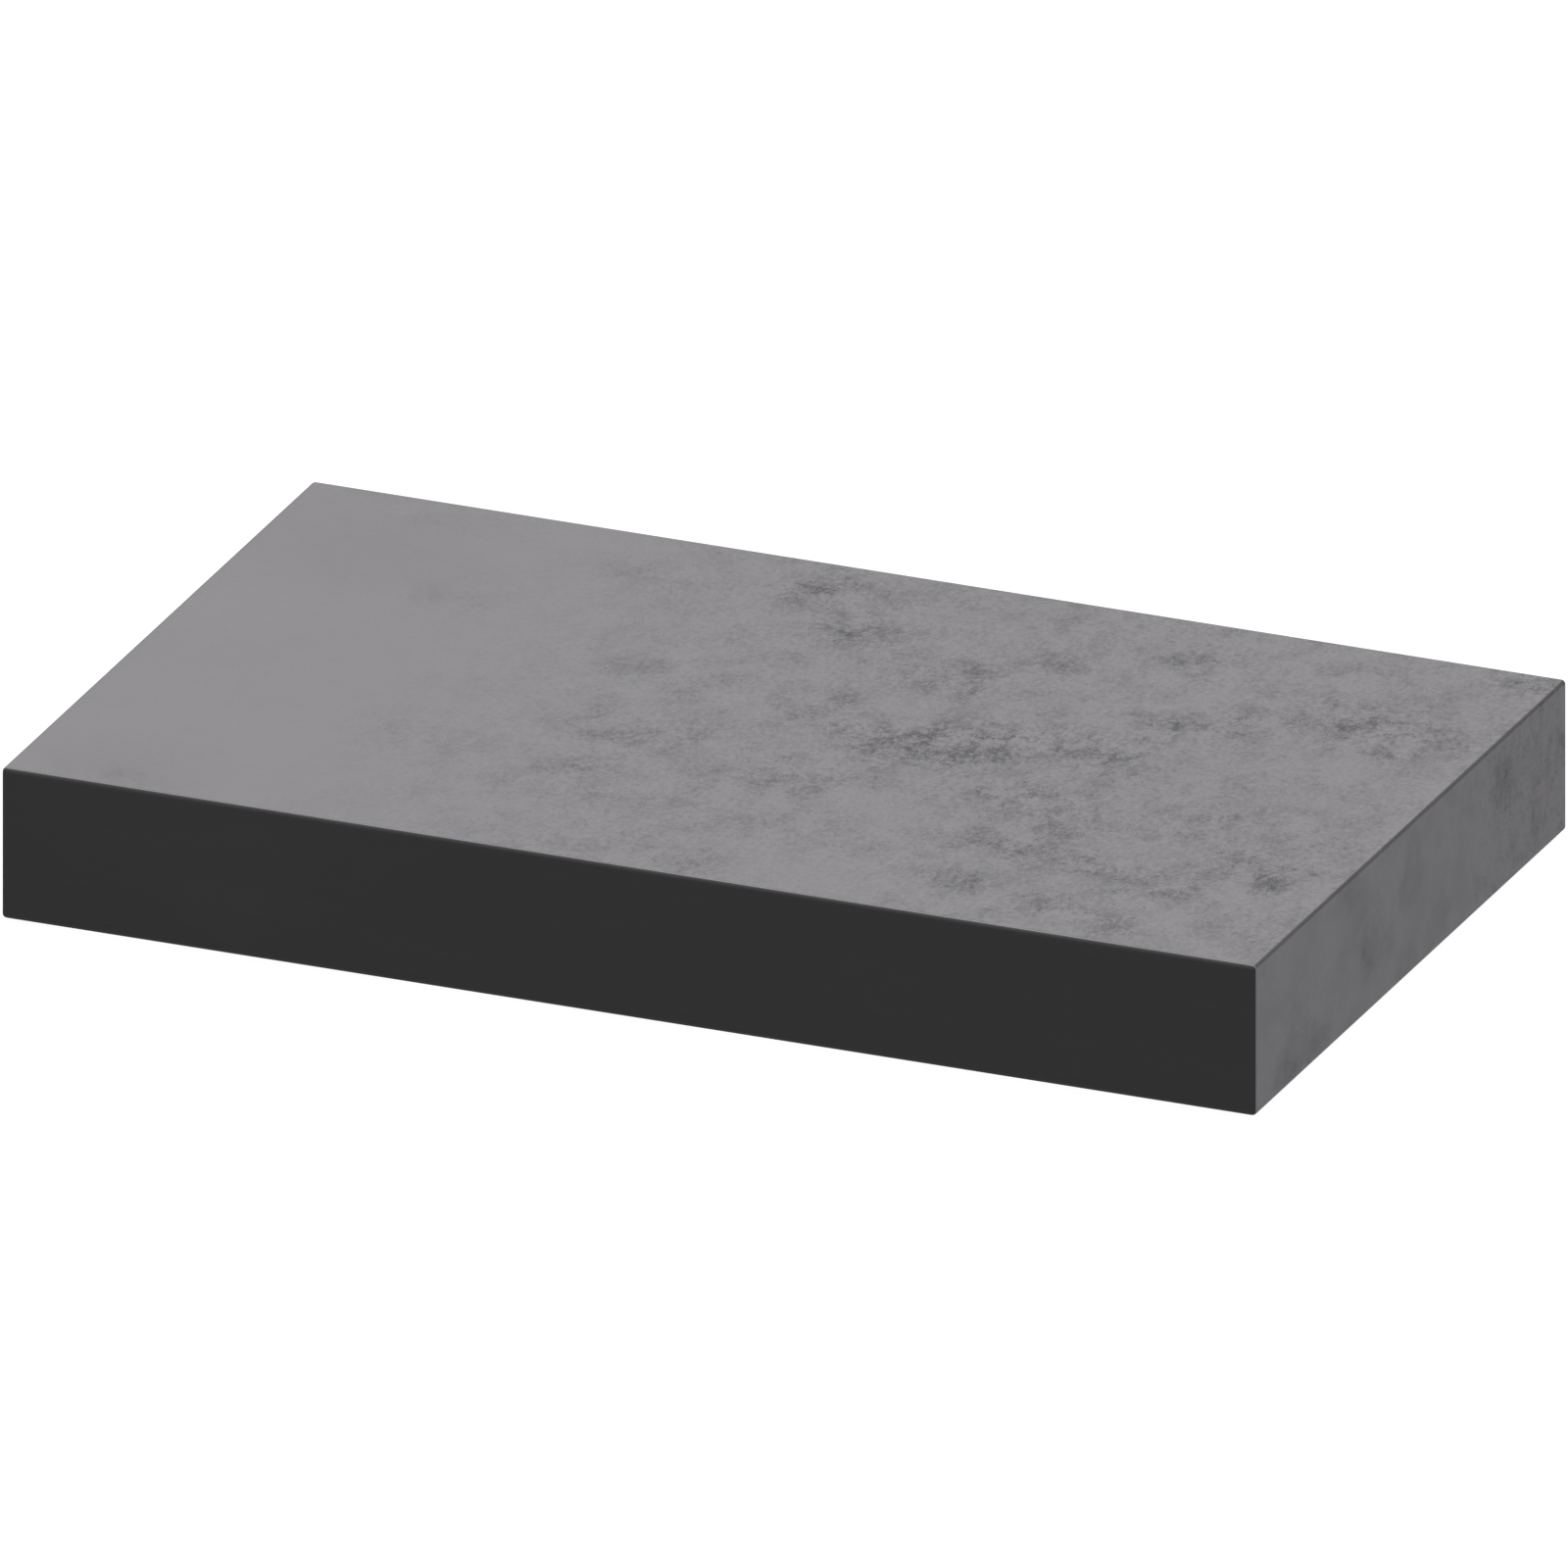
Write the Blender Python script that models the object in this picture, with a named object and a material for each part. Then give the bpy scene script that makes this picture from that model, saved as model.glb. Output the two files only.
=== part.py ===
"""Granite slab for a leather bench.

A block of stone gives leather a flat, heavy, unyielding surface for stamping, punching and skiving.
A thin charcoal strip is bonded to its front, and four rubber feet sit in shallow seats in its underside,
each held by a disc of double-sided tape.

Frame: metres. The origin is on the bench under the middle of the slab. +X runs along the slab to its
right end, -Y is the side with the strip, and +Z is up.
"""

import bmesh
import bpy

# Slab, as it stands on the bench.
SLAB_LENGTH = 0.250  # along X, end to end
SLAB_DEPTH = 0.150  # along Y, from the face of the strip to the back of the stone
SLAB_THICKNESS = 0.0300  # an ordinary thickness of sawn stone
STONE_ARRIS = 0.0009  # radius of the stone's eased edges

# Strip on the front.
STRIP_THICKNESS = 0.0005
STRIP_ARRIS = 0.0004  # radius round the strip's outer edges
STRIP_SQUARE_EDGE = 0.0001  # what that radius leaves square, at least, next to the stone
BOND_LINE = 0.0003  # clearance between strip and stone, which the adhesive fills

# Feet, and the seats they sit in.
FOOT_RADIUS = 0.0100
FOOT_THICKNESS = 0.0025
FOOT_ROUNDING = 0.0005  # radius of a foot's lower rim
FOOT_STANDOFF = 0.0010  # how far a foot stands out below the stone
FOOT_INSET_X = 0.0250  # from an end of the slab to the centre of a foot
FOOT_INSET_Y = 0.0250  # from the front or the back of the slab to the centre of a foot
TAPE_THICKNESS = 0.0004
TAPE_MARGIN = 0.0005  # how far a tape disc stops short of its foot's rim
SEAT_CLEARANCE = 0.0003  # round a foot, and on each side of its tape

# Fineness of the curved surfaces.
STONE_ARRIS_SEGMENTS = 4
STRIP_ARRIS_SEGMENTS = 3
FOOT_SIDES = 48
FOOT_ROUNDING_SEGMENTS = 3

# An edge that turns by more than this, in radians, is drawn crisp. The flats of a rounding turn by less.
CRISP_EDGE_ANGLE = 0.6

# A cutter runs on past the face that it cuts, so that no two faces coincide.
CUTTER_OVERRUN = 0.0020

FOOT_CORNERS = {
    "front_left": (-1, -1),
    "front_right": (1, -1),
    "rear_left": (-1, 1),
    "rear_right": (1, 1),
}


def make_material(name, colour, roughness, metallic=0.0):
    """A Principled material of one linear colour."""
    material = bpy.data.materials.new(name)
    material.use_nodes = True
    shader = material.node_tree.nodes["Principled BSDF"]
    shader.inputs["Base Color"].default_value = (*colour, 1.0)
    shader.inputs["Roughness"].default_value = roughness
    shader.inputs["Metallic"].default_value = metallic
    material.diffuse_color = (*colour, 1.0)
    return material


def place(name, mesh, location, parent, material=None):
    """Adds an object that shows the mesh, with its origin at the location in its parent's frame."""
    piece = bpy.data.objects.new(name, mesh)
    piece.parent = parent
    piece.location = location
    if material:
        piece.data.materials.append(material)
    bpy.context.scene.collection.objects.link(piece)
    return piece


def finish_mesh(name, bm):
    """Turns a bmesh into a mesh with smooth round faces and crisp flat ones."""
    bmesh.ops.recalc_face_normals(bm, faces=bm.faces)
    mesh = bpy.data.meshes.new(name)
    bm.to_mesh(mesh)
    bm.free()
    mesh.shade_smooth()
    mesh.set_sharp_from_angle(angle=CRISP_EDGE_ANGLE)
    return mesh


def round_edges(bm, edges, radius, segments):
    """Rounds the edges to a radius, with a number of flats in each quarter turn."""
    bmesh.ops.bevel(
        bm,
        geom=edges,
        offset=radius,
        offset_type="OFFSET",
        segments=segments,
        profile=0.5,
        affect="EDGES",
        clamp_overlap=True,
    )


def eased_block(name, size, radius, segments, square_side):
    """A block about its own centre, with every edge rounded but the four round its square side, -Y or +Y."""
    bm = bmesh.new()
    bmesh.ops.create_cube(bm, size=1.0)
    bmesh.ops.scale(bm, vec=size, verts=bm.verts)
    eased = [edge for edge in bm.edges if any(vert.co.y * square_side < 0 for vert in edge.verts)]
    round_edges(bm, eased, radius, segments)
    return finish_mesh(name, bm)


def disc(name, radius, thickness, rounding=0.0):
    """A disc about its own centre, with its axis along Z and its lower rim rounded."""
    bm = bmesh.new()
    bmesh.ops.create_cone(
        bm,
        cap_ends=True,
        segments=FOOT_SIDES,
        radius1=radius,
        radius2=radius,
        depth=thickness,
    )
    if rounding:
        rim = [edge for edge in bm.edges if all(vert.co.z < 0 for vert in edge.verts)]
        round_edges(bm, rim, rounding, FOOT_ROUNDING_SEGMENTS)
    return finish_mesh(name, bm)


def make_stone(parent, material):
    """The stone block. Its front edges stay square, because the strip covers them."""
    depth = SLAB_DEPTH - STRIP_THICKNESS - BOND_LINE
    mesh = eased_block(
        "granite_slab",
        (SLAB_LENGTH, depth, SLAB_THICKNESS),
        STONE_ARRIS,
        STONE_ARRIS_SEGMENTS,
        square_side=-1,
    )
    location = (0.0, (SLAB_DEPTH - depth) / 2, FOOT_STANDOFF + SLAB_THICKNESS / 2)
    return place("granite_slab", mesh, location, parent, material)


def make_strip(parent, material):
    """The strip bonded to the front, flush with the stone all round. Only its outer edges are rounded."""
    mesh = eased_block(
        "front_strip",
        (SLAB_LENGTH, STRIP_THICKNESS, SLAB_THICKNESS),
        min(STRIP_ARRIS, STRIP_THICKNESS - STRIP_SQUARE_EDGE),
        STRIP_ARRIS_SEGMENTS,
        square_side=1,
    )
    location = (0.0, (STRIP_THICKNESS - SLAB_DEPTH) / 2, FOOT_STANDOFF + SLAB_THICKNESS / 2)
    return place("front_strip", mesh, location, parent, material)


def cut_seat(stone, corner, seat, location):
    """Cuts one round seat, up from the underside of the stone, with a wire cutter that stays in the file."""
    cutter = place(f"seat_cutter_{corner}", seat, location, stone.parent)
    cutter.hide_render = True
    cutter.display_type = "WIRE"
    cut = stone.modifiers.new(f"seat_{corner}", "BOOLEAN")
    cut.operation = "DIFFERENCE"
    cut.solver = "EXACT"
    cut.object = cutter


def make_feet(stone, rubber, tape):
    """A rubber foot and its tape disc at each corner, and the seat in the stone that holds them."""
    seat_depth = FOOT_THICKNESS - FOOT_STANDOFF + TAPE_THICKNESS + 2 * SEAT_CLEARANCE
    cutter_height = seat_depth + CUTTER_OVERRUN
    seat = disc("foot_seat", FOOT_RADIUS + SEAT_CLEARANCE, cutter_height)
    foot = disc("foot", FOOT_RADIUS, FOOT_THICKNESS, FOOT_ROUNDING)
    tape_disc = disc("foot_tape", FOOT_RADIUS - TAPE_MARGIN, TAPE_THICKNESS)

    foot_z = FOOT_THICKNESS / 2
    tape_z = FOOT_THICKNESS + SEAT_CLEARANCE + TAPE_THICKNESS / 2
    seat_z = FOOT_STANDOFF + seat_depth - cutter_height / 2
    for corner, (side_x, side_y) in FOOT_CORNERS.items():
        x = side_x * (SLAB_LENGTH / 2 - FOOT_INSET_X)
        y = side_y * (SLAB_DEPTH / 2 - FOOT_INSET_Y)
        cut_seat(stone, corner, seat, (x, y, seat_z))
        place(f"foot_{corner}", foot.copy(), (x, y, foot_z), stone.parent, rubber)
        place(f"foot_tape_{corner}", tape_disc.copy(), (x, y, tape_z), stone.parent, tape)


def main():
    for leftover in list(bpy.data.objects):
        bpy.data.objects.remove(leftover)

    bench_point = bpy.data.objects.new("bench_point", None)
    bpy.context.scene.collection.objects.link(bench_point)

    stone = make_stone(bench_point, make_material("honed_stone", (0.225, 0.218, 0.230), 0.45))
    make_strip(bench_point, make_material("charcoal_strip", (0.030, 0.029, 0.031), 0.60))
    rubber = make_material("foot_rubber", (0.020, 0.020, 0.021), 0.80)
    tape = make_material("foot_tape", (0.560, 0.545, 0.500), 0.55)
    make_feet(stone, rubber, tape)


main()
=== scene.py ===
"""The looks of a stone slab for a leather bench: honed stone, a charcoal front strip and rubber feet.

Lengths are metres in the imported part's own frame: +X to the slab's right end, -Y to its front and +Z up.
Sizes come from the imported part, and what the part doesn't say is a field of the class that uses it.
"""

import logging
import math
from collections.abc import Iterable, Mapping
from dataclasses import dataclass
from enum import Enum

import bmesh
import bpy
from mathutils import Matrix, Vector


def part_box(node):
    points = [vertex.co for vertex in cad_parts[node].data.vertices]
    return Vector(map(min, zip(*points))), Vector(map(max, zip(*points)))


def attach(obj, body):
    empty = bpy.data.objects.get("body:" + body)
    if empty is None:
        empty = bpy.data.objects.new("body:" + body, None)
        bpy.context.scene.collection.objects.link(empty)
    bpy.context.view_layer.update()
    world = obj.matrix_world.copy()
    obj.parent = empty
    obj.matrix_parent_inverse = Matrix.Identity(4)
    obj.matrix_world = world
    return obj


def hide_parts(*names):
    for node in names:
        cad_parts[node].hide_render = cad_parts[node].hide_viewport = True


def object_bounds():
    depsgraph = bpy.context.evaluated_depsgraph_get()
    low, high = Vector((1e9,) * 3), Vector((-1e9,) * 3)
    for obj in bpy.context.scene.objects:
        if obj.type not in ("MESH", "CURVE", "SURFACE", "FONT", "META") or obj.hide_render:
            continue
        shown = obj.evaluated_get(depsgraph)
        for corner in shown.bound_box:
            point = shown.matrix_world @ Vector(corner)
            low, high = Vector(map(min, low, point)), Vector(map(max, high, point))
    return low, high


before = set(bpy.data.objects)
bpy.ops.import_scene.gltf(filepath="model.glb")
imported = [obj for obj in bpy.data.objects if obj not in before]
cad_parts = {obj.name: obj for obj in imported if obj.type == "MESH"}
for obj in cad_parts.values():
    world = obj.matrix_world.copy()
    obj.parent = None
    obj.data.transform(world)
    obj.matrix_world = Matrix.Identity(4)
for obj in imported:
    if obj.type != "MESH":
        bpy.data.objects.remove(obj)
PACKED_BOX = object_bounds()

LOG = logging.getLogger("granite_slab")
BODY = "root"
MM = 0.001
ARRIS = 0.0009  # the radius of the slab's edges, which run on over stone and strip alike
SKIN_CELL = 0.0016  # the width of a cell of the slab's skin
CREASE = math.radians(35)  # a sharper bend than this is shaded as an edge
MERGE = 1e-6  # points closer than this are one


class Corner(Enum):
    """A corner of the slab, seen from its front."""

    FRONT_LEFT = "front_left"
    FRONT_RIGHT = "front_right"
    REAR_LEFT = "rear_left"
    REAR_RIGHT = "rear_right"


# ---------------------------------------------------------------------------------------------------------
# Node trees, written as expressions
# ---------------------------------------------------------------------------------------------------------


class Term:
    """One output socket of a node tree, with arithmetic. A sum or product adds the nodes that work it out."""

    def __init__(self, canvas: "Canvas", socket: bpy.types.NodeSocket) -> None:
        """Wraps a socket.

        Args:
            canvas: The tree that the socket is in.
            socket: The output socket.
        """
        self.canvas = canvas
        self.socket = socket

    @property
    def is_vector(self) -> bool:
        """Whether the socket holds three numbers."""
        return self.socket.type in {"VECTOR", "RGBA"}

    def _with(self, operation: str, *terms: "Value") -> "Term":
        """Adds a Math node, or a Vector Math node where a term is a vector.

        Args:
            operation: The node's operation.
            terms: What goes into its sockets, in order.

        Returns:
            The node's result.
        """
        vector = any(isinstance(term, (tuple, Vector)) or getattr(term, "is_vector", False) for term in terms)
        kind = "ShaderNodeVectorMath" if vector else "ShaderNodeMath"
        node = self.canvas.add(kind, {"operation": operation}, dict(enumerate(terms)))
        return Term(self.canvas, node.outputs[0])

    def __add__(self, other: "Value") -> "Term":
        """This plus the other."""
        return self._with("ADD", self, other)

    def __radd__(self, other: "Value") -> "Term":
        """The other plus this."""
        return self._with("ADD", other, self)

    def __sub__(self, other: "Value") -> "Term":
        """This less the other."""
        return self._with("SUBTRACT", self, other)

    def __rsub__(self, other: "Value") -> "Term":
        """The other less this."""
        return self._with("SUBTRACT", other, self)

    def __mul__(self, other: "Value") -> "Term":
        """This times the other."""
        return self._with("MULTIPLY", self, other)

    def __rmul__(self, other: "Value") -> "Term":
        """The other times this."""
        return self._with("MULTIPLY", other, self)

    def __truediv__(self, other: "Value") -> "Term":
        """This over the other."""
        return self._with("DIVIDE", self, other)

    def __abs__(self) -> "Term":
        """This without its sign."""
        return self._with("ABSOLUTE", self)

    def __mod__(self, other: "Value") -> "Term":
        """What is left of this once it is divided by the other."""
        return self._with("MODULO", self, other)

    def at_least(self, low: "Value") -> "Term":
        """The larger of this and the other."""
        return self._with("MAXIMUM", self, low)

    def at_most(self, high: "Value") -> "Term":
        """The smaller of this and the other."""
        return self._with("MINIMUM", self, high)

    def is_over(self, limit: "Value") -> "Term":
        """Whether this is the larger, as 1 or 0."""
        return self._with("GREATER_THAN", self, limit)

    def call(self, operation: str) -> "Term":
        """A function of this alone, such as its sine or its sign."""
        return self._with(operation, self)

    def length(self) -> "Term":
        """The length of this vector."""
        node = self.canvas.add("ShaderNodeVectorMath", {"operation": "LENGTH"}, {0: self})
        return Term(self.canvas, node.outputs["Value"])

    def parts(self) -> tuple["Term", "Term", "Term"]:
        """The X, Y and Z of this vector."""
        node = self.canvas.add("ShaderNodeSeparateXYZ", {}, {0: self})
        return tuple(Term(self.canvas, socket) for socket in node.outputs)

    def rise(self, start: float, end: float) -> "Term":
        """A smooth step.

        Args:
            start: Where it is 0.
            end: Where it is 1. It may be under start.

        Returns:
            A number from 0 to 1.
        """
        settings = {"interpolation_type": "SMOOTHSTEP"}
        node = self.canvas.add("ShaderNodeMapRange", settings, {"Value": self, 1: start, 2: end})
        return Term(self.canvas, node.outputs[0])


Value = Term | float | tuple[float, ...] | Vector
Colour = tuple[float, float, float]
Point = tuple[float, float]


class Canvas:
    """A node tree being drawn."""

    def __init__(self, tree: bpy.types.NodeTree) -> None:
        """Starts with the tree as it is.

        Args:
            tree: The tree to add nodes to.
        """
        self.tree = tree

    def add(
        self, kind: str, settings: Mapping[str, object], inputs: Mapping[str | int, Value]
    ) -> bpy.types.Node:
        """Adds a node of any type.

        Args:
            kind: The node's type.
            settings: The node's own settings, which are set first.
            inputs: The value or link of each socket, by the socket's name or number.

        Returns:
            The node.
        """
        node = self.tree.nodes.new(kind)
        for name, setting in settings.items():
            setattr(node, name, setting)
        for name, value in inputs.items():
            self.feed(node.inputs[name], value)
        return node

    def feed(self, socket: bpy.types.NodeSocket, value: Value) -> None:
        """Links a term to a socket, or sets the socket's own value.

        Args:
            socket: The input socket.
            value: A term, a number, or three numbers.
        """
        if isinstance(value, Term):
            self.tree.links.new(value.socket, socket)
        elif socket.type == "RGBA":
            socket.default_value = (*value, 1.0)
        elif socket.type == "VECTOR" and isinstance(value, (int, float)):
            socket.default_value = (value, value, value)
        else:
            socket.default_value = value

    def vector(self, x: Value, y: Value, z: Value) -> Term:
        """A vector of three numbers."""
        return Term(self, self.add("ShaderNodeCombineXYZ", {}, {0: x, 1: y, 2: z}).outputs[0])


class SurfaceCanvas(Canvas):
    """A material's tree, with the patterns that the finishes share."""

    def __init__(self, name: str) -> None:
        """Starts a material with a Principled shader.

        Args:
            name: The material's name.
        """
        self.material = bpy.data.materials.new(name)
        self.material.use_nodes = True
        super().__init__(self.material.node_tree)
        self.shader = self.tree.nodes["Principled BSDF"]
        coordinates = self.add("ShaderNodeTexCoord", {}, {})
        self.place = Term(self, coordinates.outputs["Object"])
        self.facing = Term(self, coordinates.outputs["Normal"])

    def noise(self, at: Term, size: float, detail: float = 0.0, roughness: float = 0.5) -> Term:
        """Smooth noise, which keeps near 0.5.

        Args:
            at: Where it is read.
            size: The width of its largest features.
            detail: How many finer octaves it has.
            roughness: How strong each octave is beside the one before.

        Returns:
            A number from 0 to 1.
        """
        inputs = {"Vector": at, "Scale": 1 / size, "Detail": detail, "Roughness": roughness}
        return Term(self, self.add("ShaderNodeTexNoise", {}, inputs).outputs[0])

    def drift(self, at: Term, size: float, reach: float, detail: float = 1.0) -> Term:
        """A vector that wanders, for bending another pattern.

        Args:
            at: Where it is read.
            size: How far it takes to change.
            reach: How far it reaches at most.
            detail: How many finer octaves it has.

        Returns:
            A vector.
        """
        node = self.add("ShaderNodeTexNoise", {}, {"Vector": at, "Scale": 1 / size, "Detail": detail})
        return (Term(self, node.outputs[1]) - (0.5, 0.5, 0.5)) * (2 * reach)

    def mix(self, share: Value, first: Value, second: Value) -> Term:
        """A colour between two.

        Args:
            share: 0 for the first, 1 for the second.
            first: A colour.
            second: A colour.

        Returns:
            The colour.
        """
        node = self.add("ShaderNodeMix", {"data_type": "RGBA"}, {0: share, 6: first, 7: second})
        return Term(self, node.outputs[2])

    def finish(self, look: Mapping[str, Value], height: Term, depth: float) -> bpy.types.Material:
        """Sets the shader's sockets, and bumps its surface.

        Args:
            look: The value or link of each of the shader's sockets.
            height: The height of the surface, from 0 to 1.
            depth: How deep that height is.

        Returns:
            The material.
        """
        for name, value in look.items():
            self.feed(self.shader.inputs[name], value)
        bump = self.add("ShaderNodeBump", {}, {"Height": height, "Distance": depth})
        self.feed(self.shader.inputs["Normal"], Term(self, bump.outputs[0]))
        return self.material


class PlanCanvas(Canvas):
    """A Geometry Nodes tree with named inputs, which is applied to an object as a plain mesh."""

    def __init__(self, name: str) -> None:
        """Starts a tree that takes and gives one geometry.

        Args:
            name: The tree's name.
        """
        super().__init__(bpy.data.node_groups.new(name, "GeometryNodeTree"))
        self.values: dict[str, object] = {}
        self.tree.interface.new_socket("Geometry", in_out="INPUT", socket_type="NodeSocketGeometry")
        self.tree.interface.new_socket("Geometry", in_out="OUTPUT", socket_type="NodeSocketGeometry")
        self.entry = self.tree.nodes.new("NodeGroupInput")

    def input(self, name: str, kind: str, value: object) -> Term:
        """Adds a named input.

        Args:
            name: The input's name.
            kind: Its type: Float, Int, Vector or Material.
            value: What it is set to.

        Returns:
            The input, for use in the tree.
        """
        socket = self.tree.interface.new_socket(name, in_out="INPUT", socket_type=f"NodeSocket{kind}")
        self.values[socket.identifier] = value
        return Term(self, self.entry.outputs[name])

    def close(self, geometry: Term, material: Term) -> None:
        """Ends the tree: instances become real, and take the material.

        Args:
            geometry: What the tree has made.
            material: What it is made of.
        """
        real = self.add("GeometryNodeRealizeInstances", {}, {"Geometry": geometry})
        inputs = {"Geometry": Term(self, real.outputs[0]), "Material": material}
        dressed = self.add("GeometryNodeSetMaterial", {}, inputs)
        self.tree.links.new(dressed.outputs[0], self.tree.nodes.new("NodeGroupOutput").inputs[0])

    def apply(self, piece: bpy.types.Object) -> None:
        """Runs the tree on an object, and leaves the result in it as a plain mesh.

        Args:
            piece: The object, whose mesh is the tree's input.
        """
        modifier = piece.modifiers.new("plan", "NODES")
        modifier.node_group = self.tree
        for identifier, value in self.values.items():
            modifier[identifier] = value
        bake_modifiers(piece)


# ---------------------------------------------------------------------------------------------------------
# Meshes
# ---------------------------------------------------------------------------------------------------------


def new_piece(name: str, mesh: bpy.types.Mesh | None = None) -> bpy.types.Object:
    """Adds an object at the origin.

    Args:
        name: The piece's name.
        mesh: Its mesh, or None for an empty one.

    Returns:
        The object.
    """
    piece = bpy.data.objects.new(name, mesh or bpy.data.meshes.new(name))
    bpy.context.scene.collection.objects.link(piece)
    return piece


def bake_modifiers(piece: bpy.types.Object) -> None:
    """Turns what an object's modifiers make into its own mesh, and removes them.

    Args:
        piece: The object.
    """
    graph = bpy.context.evaluated_depsgraph_get()
    mesh = bpy.data.meshes.new_from_object(piece.evaluated_get(graph), depsgraph=graph)
    mesh.name = piece.name
    piece.modifiers.clear()
    piece.data = mesh


def arc(middle: Point, radius: float, start: float, end: float, steps: int) -> list[Point]:
    """Points along an arc.

    Args:
        middle: Its centre.
        radius: Its radius.
        start: The angle of its first point, in degrees.
        end: The angle of its last point, in degrees.
        steps: How many straight pieces it has.

    Returns:
        The points, both ends included.
    """
    across, up = middle
    turns = [math.radians(start + (end - start) * step / steps) for step in range(steps + 1)]
    return [(across + radius * math.cos(turn), up + radius * math.sin(turn)) for turn in turns]


def turned(name: str, outline: Iterable[Point], centre: Vector, steps: int) -> bpy.types.Mesh:
    """Turns an outline about an upright axis.

    Args:
        name: The mesh's name.
        outline: Points of radius and height. The first and the last are on the axis.
        centre: Where the outline's zero is.
        steps: How many sides the turned shape has.

    Returns:
        A closed mesh.
    """
    bm = bmesh.new()
    verts = [bm.verts.new(centre + Vector((radius, 0.0, height))) for radius, height in outline]
    edges = [bm.edges.new(pair) for pair in zip(verts, verts[1:])]
    bmesh.ops.spin(bm, geom=verts + edges, cent=centre, axis=(0, 0, 1), angle=math.tau, steps=steps)
    bmesh.ops.remove_doubles(bm, verts=bm.verts, dist=MERGE)
    bmesh.ops.recalc_face_normals(bm, faces=bm.faces)
    mesh = bpy.data.meshes.new(name)
    bm.to_mesh(mesh)
    bm.free()
    mesh.shade_smooth()
    mesh.set_sharp_from_angle(angle=CREASE)
    return mesh


@dataclass
class EasedBlock:
    """A block whose edges are rounded, drawn as one closed skin of even cells.

    Attributes:
        low: Its lowest corner.
        high: Its highest corner.
        arris: The radius of its edges.
        cell: The width of a cell on its flat faces.
        arris_cells: How many cells an eighth of a turn takes.
    """

    low: Vector
    high: Vector
    arris: float
    cell: float
    arris_cells: int = 4

    def cells(self) -> list[int]:
        """How many cells there are along each axis, arrises included."""
        flats = [max(1, round((side - 2 * self.arris) / self.cell)) for side in self.high - self.low]
        return [flat + 2 * self.arris_cells for flat in flats]

    def build(self, name: str, material: bpy.types.Material) -> bpy.types.Object:
        """Draws the block.

        Args:
            name: The piece's name.
            material: What it is made of.

        Returns:
            The object, with its place in its mesh.
        """
        plan = PlanCanvas("eased_block")
        size = plan.input("Size", "Vector", self.high - self.low)
        middle = plan.input("Middle", "Vector", (self.high + self.low) / 2)
        arris = plan.input("Arris", "Float", self.arris)
        arris_cells = plan.input("Arris Cells", "Int", self.arris_cells)
        finish = plan.input("Finish", "Material", material)
        counts = [plan.input(f"Cells {axis}", "Int", count) for axis, count in zip("XYZ", self.cells())]

        corners = {f"Vertices {axis}": count + 1 for axis, count in zip("XYZ", counts)}
        cube = plan.add("GeometryNodeMeshCube", {}, {"Size": (1.0, 1.0, 1.0), **corners})
        position = Term(plan, plan.add("GeometryNodeInputPosition", {}, {}).outputs[0])
        spread, core = [], []
        for place, side, count in zip(position.parts(), size.parts(), counts):
            edge = 1 - 2 * arris_cells / count
            reach = abs(place) * 2
            flat = side / 2 - arris
            out = (reach / edge).at_most(1.0) * flat
            turn = ((reach - edge) / (1 - edge)).at_least(0.0) * math.radians(45)
            at = place.call("SIGN") * (out + arris * turn.call("TANGENT"))
            spread.append(at)
            core.append(at.at_most(flat).at_least(flat * -1))
        inner = plan.vector(*core)
        outer = plan.vector(*spread) - inner
        eased = inner + outer.call("NORMALIZE") * arris + middle
        inputs = {"Geometry": Term(plan, cube.outputs[0]), "Position": eased}
        moved = plan.add("GeometryNodeSetPosition", {}, inputs)
        smooth = plan.add("GeometryNodeSetShadeSmooth", {}, {0: Term(plan, moved.outputs[0])})
        plan.close(Term(plan, smooth.outputs[0]), finish)

        piece = new_piece(name)
        plan.apply(piece)
        return piece

    def build_slice(
        self, name: str, material: bpy.types.Material, front: float, rear: float
    ) -> bpy.types.Object:
        """Draws only the part of the block between two upright planes.

        Args:
            name: The piece's name.
            material: What it is made of.
            front: The lowest Y that is kept.
            rear: The highest Y that is kept.

        Returns:
            The object, closed where it is cut.
        """
        piece = self.build(name, material)
        bm = bmesh.new()
        bm.from_mesh(piece.data)
        for cut, outwards in ((front, -1.0), (rear, 1.0)):
            made = bmesh.ops.bisect_plane(
                bm,
                geom=[*bm.verts, *bm.edges, *bm.faces],
                dist=MERGE / 10,
                plane_co=(0.0, cut, 0.0),
                plane_no=(0.0, outwards, 0.0),
                clear_outer=True,
            )["geom_cut"]
            rim = [part for part in made if isinstance(part, bmesh.types.BMEdge)]
            bmesh.ops.holes_fill(bm, edges=rim)
        bmesh.ops.recalc_face_normals(bm, faces=bm.faces)
        bm.to_mesh(piece.data)
        bm.free()
        piece.data.shade_smooth()
        piece.data.set_sharp_from_angle(angle=CREASE)
        return piece


# ---------------------------------------------------------------------------------------------------------
# Finishes
# ---------------------------------------------------------------------------------------------------------


@dataclass(frozen=True)
class Cloud:
    """A soft dark cloud in the figure of one face of the stone. Its lengths are millimetres.

    Attributes:
        along: Its distance from the face's left edge, as one faces it.
        across: Its distance from the face's near or lower edge.
        reach: How far it spreads across.
        stretch: How many times further it spreads along.
        strength: How dark its middle is. Under 0, it is a paler patch.
    """

    along: float
    across: float
    reach: float
    stretch: float
    strength: float


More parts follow.
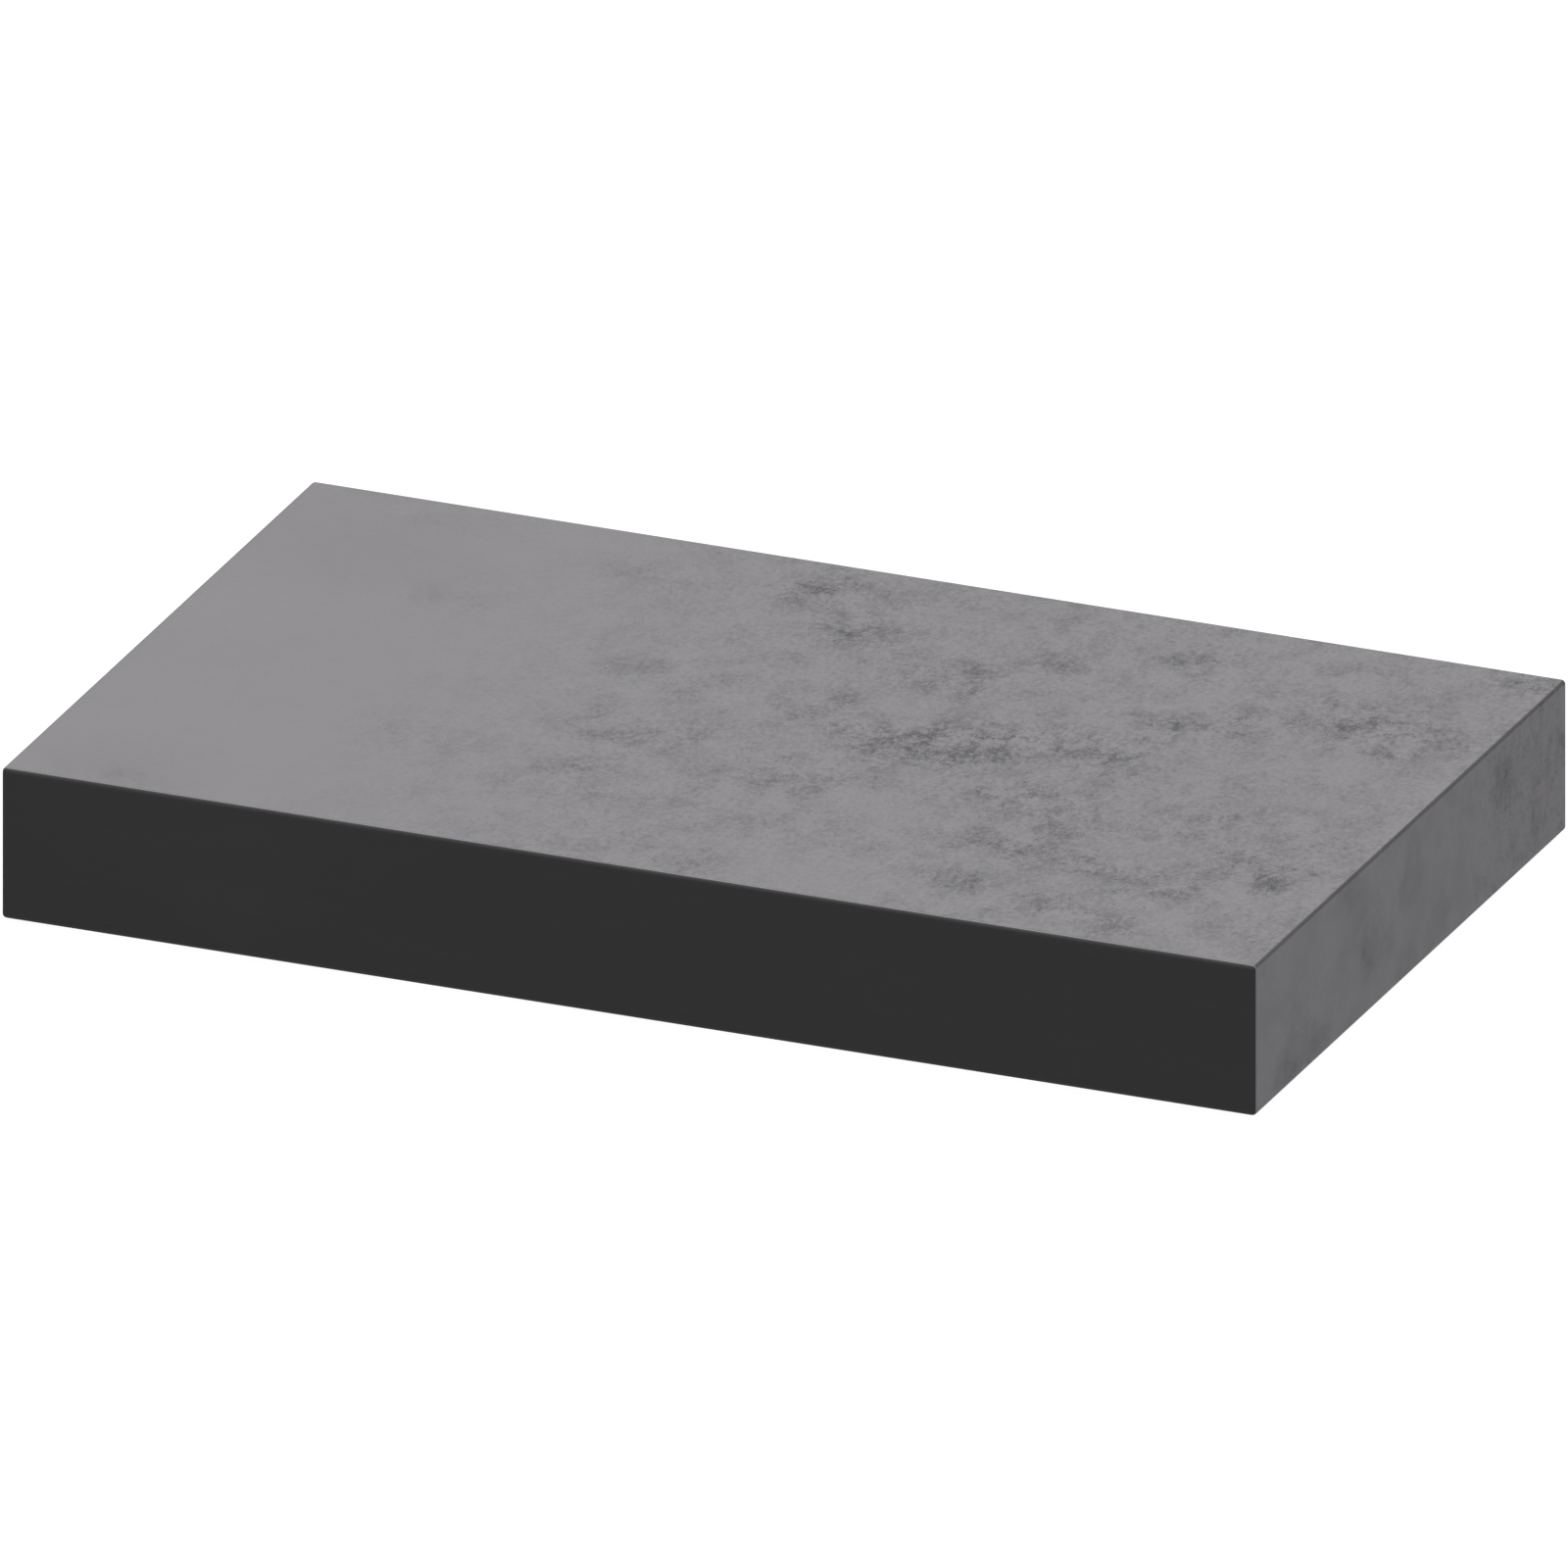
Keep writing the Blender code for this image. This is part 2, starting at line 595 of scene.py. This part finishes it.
# Each list is given one by one: the main clouds of a face first, then small ones that shape them.
TOP_CLOUDS = (
    Cloud(157, 77, 17, 1.2, 1.10),
    Cloud(146, 72, 13, 1.3, 0.80),
    Cloud(130, 82, 13, 1.4, 0.55),
    Cloud(186, 82, 15, 1.0, 0.75),
    Cloud(189, 100, 12, 1.2, 0.65),
    Cloud(106, 137, 15, 1.0, 0.80),
    Cloud(120, 122, 17, 1.0, 0.66),
    Cloud(146, 108, 18, 1.2, 0.50),
    Cloud(163, 120, 15, 1.0, 0.38),
    Cloud(185, 131, 13, 1.2, 0.40),
    Cloud(218, 118, 15, 1.0, 0.62),
    Cloud(233, 112, 17, 1.2, 0.80),
    Cloud(246, 145, 12, 1.0, 0.80),
    Cloud(204, 108, 14, 1.2, 0.45),
    Cloud(99, 60, 17, 1.2, 0.48),
    Cloud(138, 53, 16, 1.3, 0.50),
    Cloud(180, 59, 16, 1.2, 0.75),
    Cloud(195, 50, 14, 1.3, 0.55),
    Cloud(234, 45, 15, 1.1, 0.76),
    Cloud(214, 60, 16, 1.3, 0.40),
    Cloud(186, 37, 11, 1.6, 0.70),
    Cloud(203, 34, 10, 1.6, 0.65),
    Cloud(219, 28, 15, 1.2, 0.65),
    Cloud(206, 13, 9, 2.0, 0.65),
    Cloud(135, 7, 9, 1.2, 0.45),
    Cloud(98, 40, 15, 1.3, 0.32),
    Cloud(66, 43, 16, 1.2, 0.35),
    Cloud(92, 89, 14, 1.2, 0.24),
    Cloud(77, 128, 14, 1.0, 0.32),
    Cloud(46, 106, 15, 1.2, 0.22),
    Cloud(22, 4, 12, 1.5, 0.20),
    Cloud(28, 144, 14, 2.0, 0.18),
    Cloud(168, 86, 14, 1.2, 1.00),
    Cloud(186, 90, 9, 1.0, 0.35),
    Cloud(137, 75, 8, 1.0, 0.35),
    Cloud(184, 17, 12, 1.0, 0.50),
    Cloud(246, 18, 14, 1.0, 0.20),
    Cloud(236, 38, 10, 1.0, 0.50),
    Cloud(243, 60, 10, 1.0, 0.40),
    Cloud(217, 9, 9, 1.2, 0.50),
    Cloud(155, 8, 20, 1.6, -0.40),
    Cloud(173, 128, 11, 1.0, -0.32),
    Cloud(228, 97, 9, 1.2, -0.45),
    Cloud(158, 42, 14, 1.0, -0.36),
    Cloud(206, 46, 8, 1.2, -0.35),
    Cloud(116, 84, 9, 1.0, -0.25),
    Cloud(231, 76, 10, 1.3, -0.32),
    Cloud(143, 88, 9, 1.0, -0.30),
)

HAZE = (
    Cloud(18, 10, 24, 1.3, 0.080),
    Cloud(28, 125, 28, 1.3, 0.075),
    Cloud(8, 85, 22, 1.0, -0.060),
    Cloud(235, 130, 30, 1.0, 0.050),
    Cloud(215, 60, 50, 1.0, 0.030),
)

END_CLOUDS = (
    Cloud(52, 14, 10, 1.3, 0.75),
    Cloud(61, 10, 8, 1.2, 0.45),
    Cloud(74, 19, 6, 1.6, 0.45),
    Cloud(15, 5, 8, 1.3, 0.80),
    Cloud(29, 5, 8, 1.3, 0.65),
    Cloud(44, 26, 6, 2.0, 0.45),
    Cloud(76, 25, 5, 1.2, 0.55),
    Cloud(72, 4, 5, 1.6, 0.40),
    Cloud(88, 6, 7, 1.3, 0.40),
    Cloud(108, 4, 6, 1.3, 0.35),
    Cloud(135, 9, 9, 1.2, 0.70),
    Cloud(143, 16, 9, 1.1, 0.45),
    Cloud(121, 22, 7, 1.2, 0.45),
    Cloud(136, 27, 7, 1.6, 0.35),
)


@dataclass(frozen=True)
class HonedStone:
    """Honed grey stone. Soft clouds of fine, curled, darker fibre gather over a plain, faintly violet ground.

    Attributes:
        low: The block's lowest corner.
        high: The block's highest corner.
        arris: The radius of the block's edges.
        ground: The colour between the clouds.
        shadow: The colour at the heart of a cloud.
        sawn: The colour that the saw leaves underneath.
        fibre: The width of the curls in a cloud.
        speck: The width of the specks over them.
        draw: How much shorter a pattern is read across the slab, which draws its features out that way.
        plain_until: How far in from the left the stone is plain.
        clouded_from: How far in from the left it is clouded throughout.
        line: Where the line along the upper arris starts, is full, fades and ends, in arris radii. Its lower
            roughness is polish, and its darker colour is painted shade.
        shaded_arris_colour: How much of the stone's colour the painted shade leaves in that line.
        saw_centre: Where the middle of the saw's arcs is.
        saw_pitch: The distance between those arcs.
        bump: How deep the surface's relief is.
    """

    low: Vector
    high: Vector
    arris: float
    ground: Colour = (0.2385, 0.2315, 0.2435)
    shadow: Colour = (0.100, 0.097, 0.102)
    sawn: Colour = (0.205, 0.200, 0.208)
    fibre: float = 0.008
    speck: float = 0.0011
    draw: float = 0.78
    plain_until: float = 0.04
    clouded_from: float = 0.12
    line: tuple[float, float, float, float] = (0.04, 0.20, 0.50, 0.98)
    shaded_arris_colour: float = 0.42
    saw_centre: Point = (-0.21, -0.30)
    saw_pitch: float = 0.0034
    bump: float = 0.00006

    def clouds(self, at: Term, clouds: Iterable[Cloud]) -> Term:
        """How deep in the clouds a point is.

        Args:
            at: Its place on the face, in metres along and across.
            clouds: The face's clouds.

        Returns:
            A number from 0.
        """
        total: Value = 0.0
        for cloud in clouds:
            middle = (cloud.along * MM, cloud.across * MM, 0.0)
            reach = cloud.reach * MM
            away = (at - middle) * (1 / (reach * cloud.stretch), 1 / reach, 0.0)
            total = away.length().rise(1.0, 0.0) * cloud.strength + total
        return total

    def work_face(self, canvas: SurfaceCanvas, along: Term, across: Term) -> Term:
        """How dark the figure of the upper face is: nearly plain to the left, clouded from there on.

        Args:
            canvas: The material's tree.
            along: The distance from the slab's left end.
            across: The distance from its front.

        Returns:
            0 for the ground colour, 1 for the shadow.
        """
        place = canvas.place
        bent = canvas.drift(place, 0.016, 0.006, 2) + canvas.drift(place, 0.005, 0.0030, 3)
        at = canvas.vector(along, across, 0.0) + bent
        depth = self.clouds(at, TOP_CLOUDS)
        haze = self.clouds(at, HAZE) + (canvas.noise(place, 0.045, 1) - 0.5) * 0.08

        drawn = place * (1.0, self.draw, 1.0)
        curls = canvas.noise(drawn + canvas.drift(drawn, 0.003, 0.0012, 1), self.fibre, 6, 0.74)
        specks = canvas.noise(drawn + canvas.drift(drawn, 0.0015, 0.0005, 1), self.speck, 3, 0.95) - 0.5

        reach = along.rise(self.plain_until, self.clouded_from)
        clouded = ((depth * 0.98 + reach * 0.42 + 0.05) * curls.rise(0.34, 0.82)).at_least(0.0)
        grainy = specks * (clouded * 1.7 + depth + reach * 1.15 + 0.20)
        return clouded + grainy + haze + 0.06

    def sides(self, canvas: SurfaceCanvas, across: Term, up: Term, right: Term) -> Term:
        """How dark the softer figure of the ends and the back is.

        Args:
            canvas: The material's tree.
            across: The distance from the slab's front.
            up: The height above its underside.
            right: 1 on the right end, whose clouds are chosen, and 0 where they are strewn.

        Returns:
            0 for the ground colour, 1 for the shadow.
        """
        place = canvas.place
        bent = canvas.drift(place, 0.012, 0.004, 2)
        chosen = self.clouds(canvas.vector(across, up, 0.0) + bent, END_CLOUDS)
        strewn = canvas.noise(place + bent, 0.030, 2).rise(0.50, 0.72)
        soft = canvas.noise(place + bent, 0.011, 4, 0.6).rise(0.35, 0.70)

        patches = canvas.noise(place + (0.05, 0.0, 0.0), 0.022, 1).rise(0.45, 0.60)
        rough = patches * 0.35 + across.rise(0.095, 0.125)
        specks = canvas.noise(place, 0.0020, 3, 0.9) - 0.5
        grain = specks * (0.25 + chosen * 0.45 + rough * 1.50)
        return (chosen * right + strewn * (1 - right)) * (soft * 0.45 + 0.22) + soft * 0.18 + grain

    def material(self) -> bpy.types.Material:
        """Draws the finish.

        Returns:
            The material.
        """
        canvas = SurfaceCanvas("honed_stone")
        x, y, z = canvas.place.parts()
        out_x, _, out_z = canvas.facing.parts()
        top = out_z.rise(0.70, 0.90)
        under = out_z.rise(-0.70, -0.90)
        right = out_x.rise(0.5, 0.7)
        along, across, up = x - self.low.x, y - self.low.y, z - self.low.z

        face, side = self.work_face(canvas, along, across), self.sides(canvas, across, up, right)
        dark = face * top + side * (1 - top)
        figured = canvas.mix(dark.at_most(1.0), self.ground, self.shadow)

        grain = canvas.noise(canvas.place, 0.0006, 3, 0.7)
        lines = self.saw_lines(canvas, x, y)
        sawn = canvas.mix(lines * 0.35 + grain * 0.35, self.sawn, self.shadow)
        bare = canvas.mix(under, figured, sawn)

        # The line along the upper arris: its lower roughness is polish, and its darker base colour is painted
        # shade.
        starts, full, fades, ends = self.line
        drop = (self.high.z - z) / self.arris
        line = drop.rise(starts, full) * drop.rise(ends, fades)
        look = {
            "Base Color": bare * (1 - line * (1 - self.shaded_arris_colour)),
            "Roughness": 0.46 + under * 0.30 - line * 0.16 + (grain - 0.5) * 0.12,
            "Specular IOR Level": 0.35,
        }
        height = grain * (0.25 + under * 0.35) + lines * under * 0.6
        return canvas.finish(look, height, self.bump)

    def saw_lines(self, canvas: SurfaceCanvas, x: Term, y: Term) -> Term:
        """The wide, shallow arcs that a large saw leaves underneath.

        Args:
            canvas: The material's tree.
            x: The place along the slab.
            y: The place across the slab.

        Returns:
            Their height, from 0 to 1.
        """
        centre_x, centre_y = self.saw_centre
        blade = canvas.vector(x - centre_x, y - centre_y, 0.0).length()
        ripple = (blade * (math.tau / self.saw_pitch) + canvas.noise(canvas.place, 0.02, 2) * 5).call("SINE")
        fade = canvas.noise(canvas.place, 0.035, 2).rise(0.35, 0.65)
        return (ripple * 0.5 + 0.5) * (0.35 + fade * 0.65)


@dataclass(frozen=True)
class CharcoalFinish:
    """Even, matt charcoal plastic with a fine pressed grain.

    Attributes:
        colour: Its colour.
        worn: How much lighter it is where it is rubbed.
        grain: The width of its grain.
    """

    colour: Colour = (0.0366, 0.0358, 0.0375)
    worn: float = 1.10
    grain: float = 0.00045

    def material(self) -> bpy.types.Material:
        """Draws the finish.

        Returns:
            The material.
        """
        canvas = SurfaceCanvas("charcoal_strip")
        pressed = canvas.noise(canvas.place, self.grain, 3, 0.6)
        rubbed = canvas.noise(canvas.place * (0.25, 1.0, 1.0), 0.006, 3, 0.6).rise(0.45, 0.75)
        lighter = tuple(channel * self.worn for channel in self.colour)
        colour = canvas.mix(pressed * 0.6 + rubbed * 0.4, self.colour, lighter)
        rough = 0.62 + (pressed - 0.5) * 0.10 - rubbed * 0.04
        look = {"Base Color": colour, "Roughness": rough, "Specular IOR Level": 0.30}
        return canvas.finish(look, pressed, 0.00003)


@dataclass(frozen=True)
class RubberFinish:
    """Moulded black rubber, a little dusty where it is rough.

    Attributes:
        colour: Clean rubber.
        dust: Where dust has settled in.
    """

    colour: Colour = (0.018, 0.018, 0.019)
    dust: Colour = (0.060, 0.058, 0.055)

    def material(self) -> bpy.types.Material:
        """Draws the finish.

        Returns:
            The material.
        """
        canvas = SurfaceCanvas("foot_rubber")
        grain = canvas.noise(canvas.place, 0.00035, 3, 0.65)
        settled = canvas.noise(canvas.place, 0.004, 4, 0.65).rise(0.48, 0.75)
        colour = canvas.mix(settled * 0.7 + grain * 0.15, self.colour, self.dust)
        rough = 0.72 + settled * 0.15 + (grain - 0.5) * 0.15
        return canvas.finish({"Base Color": colour, "Roughness": rough}, grain, 0.00004)


@dataclass(frozen=True)
class TapeFinish:
    """Closed-cell foam tape, pale and finely blistered.

    Attributes:
        colour: The foam.
        blister: The rims of its cells.
        cells: How many cells there are along a metre.
    """

    colour: Colour = (0.56, 0.545, 0.50)
    blister: Colour = (0.40, 0.385, 0.35)
    cells: float = 2600.0

    def material(self) -> bpy.types.Material:
        """Draws the finish.

        Returns:
            The material.
        """
        canvas = SurfaceCanvas("foot_tape")
        inputs = {"Vector": canvas.place, "Scale": self.cells}
        cells = Term(canvas, canvas.add("ShaderNodeTexVoronoi", {}, inputs).outputs[0])
        colour = canvas.mix(cells.rise(0.3, 0.7), self.colour, self.blister)
        return canvas.finish({"Base Color": colour, "Roughness": 0.5 + cells * 0.2}, 1 - cells, 0.00003)


@dataclass(frozen=True)
class BondFinish:
    """Adhesive tinted to the stone, with a fine filler in it.

    Attributes:
        colour: The adhesive.
        filler: The grains in it.
    """

    colour: Colour = (0.205, 0.200, 0.211)
    filler: Colour = (0.240, 0.234, 0.246)

    def material(self) -> bpy.types.Material:
        """Draws the finish.

        Returns:
            The material.
        """
        canvas = SurfaceCanvas("bond_line")
        grains = canvas.noise(canvas.place, 0.0002, 2, 0.6)
        colour = canvas.mix(grains.rise(0.45, 0.65), self.colour, self.filler)
        return canvas.finish({"Base Color": colour, "Roughness": 0.45 + grains * 0.2}, grains, 0.00002)


# ---------------------------------------------------------------------------------------------------------
# The slab's pieces
# ---------------------------------------------------------------------------------------------------------


def settle(piece: bpy.types.Object, slot: str, *nodes: str) -> None:
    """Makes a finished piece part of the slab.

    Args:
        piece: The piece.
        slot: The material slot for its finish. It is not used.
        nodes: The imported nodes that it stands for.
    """
    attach(piece, BODY)
    if nodes:
        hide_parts(*nodes)
    LOG.info("%s: %d faces", piece.name, len(piece.data.polygons))


@dataclass
class StoneBlock:
    """The stone, with eased edges and a countersunk seat for each foot.

    Attributes:
        seat_clearance: The space round a foot in its seat.
        seat_depth: How far a seat goes in past its foot.
        mouth: How wide the bevel round a seat's mouth is.
        steps: How many sides a seat has.
    """

    seat_clearance: float = 0.0003
    seat_depth: float = 0.0010
    mouth: float = 0.0003
    steps: int = 64

    def cut_seat(self, stone: bpy.types.Object, corner: Corner) -> bpy.types.Object:
        """Adds the cut for one foot's seat.

        Args:
            stone: The stone.
            corner: Where the foot is.

        Returns:
            The cutter, which can go once the cut is made.
        """
        low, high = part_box(f"foot_{corner.value}")
        floor = high.z + self.seat_depth
        radius = (high.x - low.x) / 2 + self.seat_clearance
        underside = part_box("granite_slab")[0].z
        outline = [
            (0.0, floor),
            (radius, floor),
            (radius, underside + self.mouth),
            (radius + 2 * self.mouth, underside - self.mouth),
            (0.0, underside - self.mouth),
        ]
        centre = Vector(((low.x + high.x) / 2, (low.y + high.y) / 2, 0.0))
        cutter = new_piece(f"seat_{corner.value}", turned("seat", outline, centre, self.steps))
        cut = stone.modifiers.new("seat", "BOOLEAN")
        cut.operation = "DIFFERENCE"
        cut.solver = "EXACT"
        cut.object = cutter
        return cutter

    def build(self) -> None:
        """Draws the stone, cuts its seats and dresses it."""
        stone_low, stone_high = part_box("granite_slab")
        low = Vector((stone_low.x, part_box("front_strip")[0].y, stone_low.z))
        finish = HonedStone(low, stone_high, ARRIS).material()
        block = EasedBlock(low, stone_high, ARRIS, SKIN_CELL)
        stone = block.build_slice("stone_block", finish, stone_low.y, stone_high.y)
        cutters = [self.cut_seat(stone, corner) for corner in Corner]
        bake_modifiers(stone)
        for cutter in cutters:
            bpy.data.objects.remove(cutter)
        stone.data.materials.clear()
        stone.data.materials.append(finish)
        settle(stone, "honed_stone", "granite_slab")


@dataclass
class FrontStrip:
    """The charcoal strip, and the line of adhesive that bonds it to the stone. The arrises run on over both.

    Attributes:
        bond_set_back: How far the adhesive stops short of the surface.
        bond_bite: How far the adhesive goes into what it bonds.
    """

    bond_set_back: float = 0.00003
    bond_bite: float = 0.00002

    def build(self) -> None:
        """Draws the strip and the adhesive, and dresses them."""
        strip_low, strip_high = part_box("front_strip")
        stone_low, stone_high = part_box("granite_slab")
        block = EasedBlock(strip_low, stone_high, ARRIS, SKIN_CELL)
        finish = CharcoalFinish().material()
        strip = block.build_slice("charcoal_strip", finish, strip_low.y, strip_high.y)
        settle(strip, "charcoal_strip", "front_strip")

        set_back = Vector([self.bond_set_back] * 3)
        inner = EasedBlock(strip_low + set_back, stone_high - set_back, ARRIS, SKIN_CELL)
        front, rear = strip_high.y - self.bond_bite, stone_low.y + self.bond_bite
        bond = inner.build_slice("bond_line", BondFinish().material(), front, rear)
        settle(bond, "honed_stone")


@dataclass
class GripFoot:
    """A moulded rubber foot. A rim and a field of small nubs stand on the bench.

    Attributes:
        corner: Where it is.
        finish: Its rubber.
        draft: How much narrower it is below than above.
        top_bevel: The bevel round its top.
        rounding: The radius of its lower rim.
        rim: How wide the flat of the rim is.
        dish: How deep the field inside the rim is.
        nub_pitch: The distance between nubs.
        nub_radius: A nub's radius at its tip.
        nub_sides: How many sides a nub has.
        nub_flare: How many times wider a nub is at its root.
        steps: How many sides the foot has.
    """

    corner: Corner
    finish: bpy.types.Material
    draft: float = 0.0002
    top_bevel: float = 0.0002
    rounding: float = 0.0005
    rim: float = 0.0012
    dish: float = 0.0005
    nub_pitch: float = 0.0017
    nub_radius: float = 0.00040
    nub_sides: int = 10
    nub_flare: float = 1.5
    steps: int = 72

    def outline(self, radius: float, thickness: float) -> list[Point]:
        """The foot's outline, down its outer side and in across its underside.

        Args:
            radius: The foot's radius.
            thickness: The foot's thickness.

        Returns:
            Points of radius and height.
        """
        foot = radius - self.draft
        inner = foot - self.rounding - self.rim
        return [
            (0.0, thickness),
            (radius - self.top_bevel, thickness),
            (radius, thickness - self.top_bevel),
            *arc((foot - self.rounding, self.rounding), self.rounding, 0, -90, 6),
            (inner, 0.0),
            *arc((inner - self.dish, 0.0), self.dish, 0, 90, 4)[1:],
            (0.0, self.dish),
        ]

    def add_nubs(self, foot: bpy.types.Object, centre: Vector, field_radius: float) -> None:
        """Sets nubs on the foot's underside, in staggered rows, out to the field's edge.

        Args:
            foot: The turned foot.
            centre: The middle of its underside.
            field_radius: How far out the nubs go.
        """
        plan = PlanCanvas("grip_nubs")
        pitch = plan.input("Pitch", "Float", self.nub_pitch)
        reach = plan.input("Field Radius", "Float", field_radius)
        height = plan.input("Height", "Float", self.dish)
        tip = plan.input("Tip Radius", "Float", self.nub_radius)
        sides = plan.input("Sides", "Int", self.nub_sides)
        middle = plan.input("Middle", "Vector", centre)
        finish = plan.input("Finish", "Material", self.finish)

        rows = 2 * math.ceil(field_radius / self.nub_pitch) + 3
        counts = {"Vertices X": rows, "Vertices Y": rows}
        lattice = plan.add("GeometryNodeMeshGrid", {}, counts)
        index = Term(plan, plan.add("GeometryNodeInputIndex", {}, {}).outputs[0])
        column = (index / rows).call("FLOOR")
        row = index - column * rows
        half = (rows - 1) / 2
        stagger = (row % 2.0) * 0.5
        row_pitch = pitch * math.sin(math.tau / 6)
        at = plan.vector((column - half + stagger) * pitch, (row - half) * row_pitch, 0.0)
        spread = plan.add("GeometryNodeSetPosition", {}, {0: Term(plan, lattice.outputs[0]), "Position": at})
        outside = at.length().is_over(reach)
        kept = plan.add("GeometryNodeDeleteGeometry", {}, {0: Term(plan, spread.outputs[0]), 1: outside})

        radii = {"Radius Top": tip * self.nub_flare, "Radius Bottom": tip}
        nub = plan.add("GeometryNodeMeshCone", {}, {**radii, "Depth": height * 1.2, "Vertices": sides})
        points = {"Points": Term(plan, kept.outputs[0]), "Instance": Term(plan, nub.outputs[0])}
        nubs = plan.add("GeometryNodeInstanceOnPoints", {}, points)
        placed = plan.add("GeometryNodeTranslateInstances", {}, {0: Term(plan, nubs.outputs[0]), 2: middle})
        joined = plan.add("GeometryNodeJoinGeometry", {}, {})
        plan.tree.links.new(plan.entry.outputs["Geometry"], joined.inputs[0])
        plan.tree.links.new(placed.outputs[0], joined.inputs[0])
        plan.close(Term(plan, joined.outputs[0]), finish)
        plan.apply(foot)

    def build(self) -> None:
        """Draws the foot and dresses it."""
        node = f"foot_{self.corner.value}"
        low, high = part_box(node)
        radius = (high.x - low.x) / 2
        centre = Vector(((low.x + high.x) / 2, (low.y + high.y) / 2, low.z))
        outline = self.outline(radius, high.z - low.z)
        foot = new_piece(f"grip_{node}", turned(node, outline, centre, self.steps))
        edge = self.draft + self.rounding + self.rim + self.dish
        field_radius = radius - edge - self.nub_radius * self.nub_flare
        self.add_nubs(foot, centre, field_radius)
        settle(foot, "foot_rubber", node)


@dataclass
class TapeDiscs:
    """The discs of tape over the feet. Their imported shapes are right, so they only take a finish."""

    def dress(self) -> None:
        """Gives each disc its finish."""
        finish = TapeFinish().material()
        for corner in Corner:
            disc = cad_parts[f"foot_tape_{corner.value}"]
            disc.data.materials.clear()
            disc.data.materials.append(finish)
            LOG.info("%s: dressed", disc.name)


@dataclass
class Studio:
    """The camera, a pale floor and plain soft light from above.

    Attributes:
        azimuth: How far round to the right of the front the camera stands, in degrees.
        elevation: How far above the horizon it stands, in degrees.
        width: The width that it takes in. The view is parallel.
        aim_right: How far right of the slab's middle it is aimed.
        aim_up: How far above the slab's middle it is aimed.
        distance: How far off it stands.
        floor_width: The width of the floor.
        floor_colour: Its colour.
        floor_glow: How much light it gives of its own, so that it stays white beside the slab.
        softbox_height: How high the softbox hangs.
        softbox_width: The softbox's width.
        softbox_power: Its power in watts.
        sky: How bright the room is for all but the camera, which sees it white.
    """

    azimuth: float = 22.5
    elevation: float = 22.5
    width: float = 0.28878
    aim_right: float = 0.0
    aim_up: float = 0.0027
    distance: float = 1.5
    floor_width: float = 6.0
    floor_colour: Colour = (0.14, 0.14, 0.14)
    floor_glow: float = 0.97
    softbox_height: float = 2.5
    softbox_width: float = 0.9
    softbox_power: float = 73.0
    sky: float = 0.12

    def add_camera(self) -> None:
        """Stands the camera, which looks down on the slab's front right corner."""
        low, high = PACKED_BOX
        turn, tilt = math.radians(self.azimuth), math.radians(self.elevation)
        back = Vector((math.sin(turn) * math.cos(tilt), -math.cos(turn) * math.cos(tilt), math.sin(tilt)))
        facing = (-back).to_track_quat("-Z", "Y")
        slab_low, slab_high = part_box("granite_slab")
        middle = Vector(((low.x + high.x) / 2, (low.y + high.y) / 2, (slab_low.z + slab_high.z) / 2))
        aim = middle + facing @ Vector((self.aim_right, self.aim_up, 0.0))
        camera = bpy.data.objects.new("camera", bpy.data.cameras.new("camera"))
        camera.data.type = "ORTHO"
        camera.data.ortho_scale = self.width
        camera.location = aim + back * self.distance
        camera.rotation_euler = facing.to_euler()
        bpy.context.scene.collection.objects.link(camera)
        bpy.context.scene.camera = camera

    def add_floor(self) -> None:
        """Lays a wide pale floor under the feet."""
        bm = bmesh.new()
        bmesh.ops.create_grid(bm, x_segments=1, y_segments=1, size=self.floor_width / 2)
        mesh = bpy.data.meshes.new("floor")
        bm.to_mesh(mesh)
        bm.free()
        material = bpy.data.materials.new("floor")
        material.use_nodes = True
        shader = material.node_tree.nodes["Principled BSDF"]
        shader.inputs["Base Color"].default_value = (*self.floor_colour, 1.0)
        shader.inputs["Roughness"].default_value = 0.9
        shader.inputs["Specular IOR Level"].default_value = 0.0
        shader.inputs["Emission Color"].default_value = (1.0, 1.0, 1.0, 1.0)
        shader.inputs["Emission Strength"].default_value = self.floor_glow
        mesh.materials.append(material)
        floor = new_piece("floor", mesh)
        floor.visible_glossy = False

    def add_light(self) -> None:
        """Hangs a softbox over the slab, in a pale room."""
        lamp = bpy.data.lights.new("softbox", "AREA")
        lamp.shape = "DISK"
        lamp.size = self.softbox_width
        lamp.energy = self.softbox_power
        softbox = bpy.data.objects.new("softbox", lamp)
        softbox.location = (0.0, 0.0, self.softbox_height)
        bpy.context.scene.collection.objects.link(softbox)

        world = bpy.data.worlds.new("room")
        world.use_nodes = True
        bpy.context.scene.world = world
        canvas = Canvas(world.node_tree)
        seen = Term(canvas, canvas.add("ShaderNodeLightPath", {}, {}).outputs["Is Camera Ray"])
        strength = seen * (1 - self.sky) + self.sky
        canvas.feed(world.node_tree.nodes["Background"].inputs["Strength"], strength)
        world.node_tree.nodes["Background"].inputs["Color"].default_value = (1.0, 1.0, 1.0, 1.0)

    def build(self) -> None:
        """Sets up the camera, floor and light."""
        self.add_camera()
        self.add_floor()
        self.add_light()
        bpy.context.scene.view_settings.view_transform = "Standard"


def main() -> None:
    """Builds the slab's pieces and the studio, and logs the face count of each piece it draws."""
    logging.basicConfig(level=logging.INFO, format="%(name)s: %(message)s")
    Studio().build()
    StoneBlock().build()
    FrontStrip().build()
    rubber = RubberFinish().material()
    for corner in Corner:
        GripFoot(corner, rubber).build()
    TapeDiscs().dress()


if __name__ == "__main__":
    main()
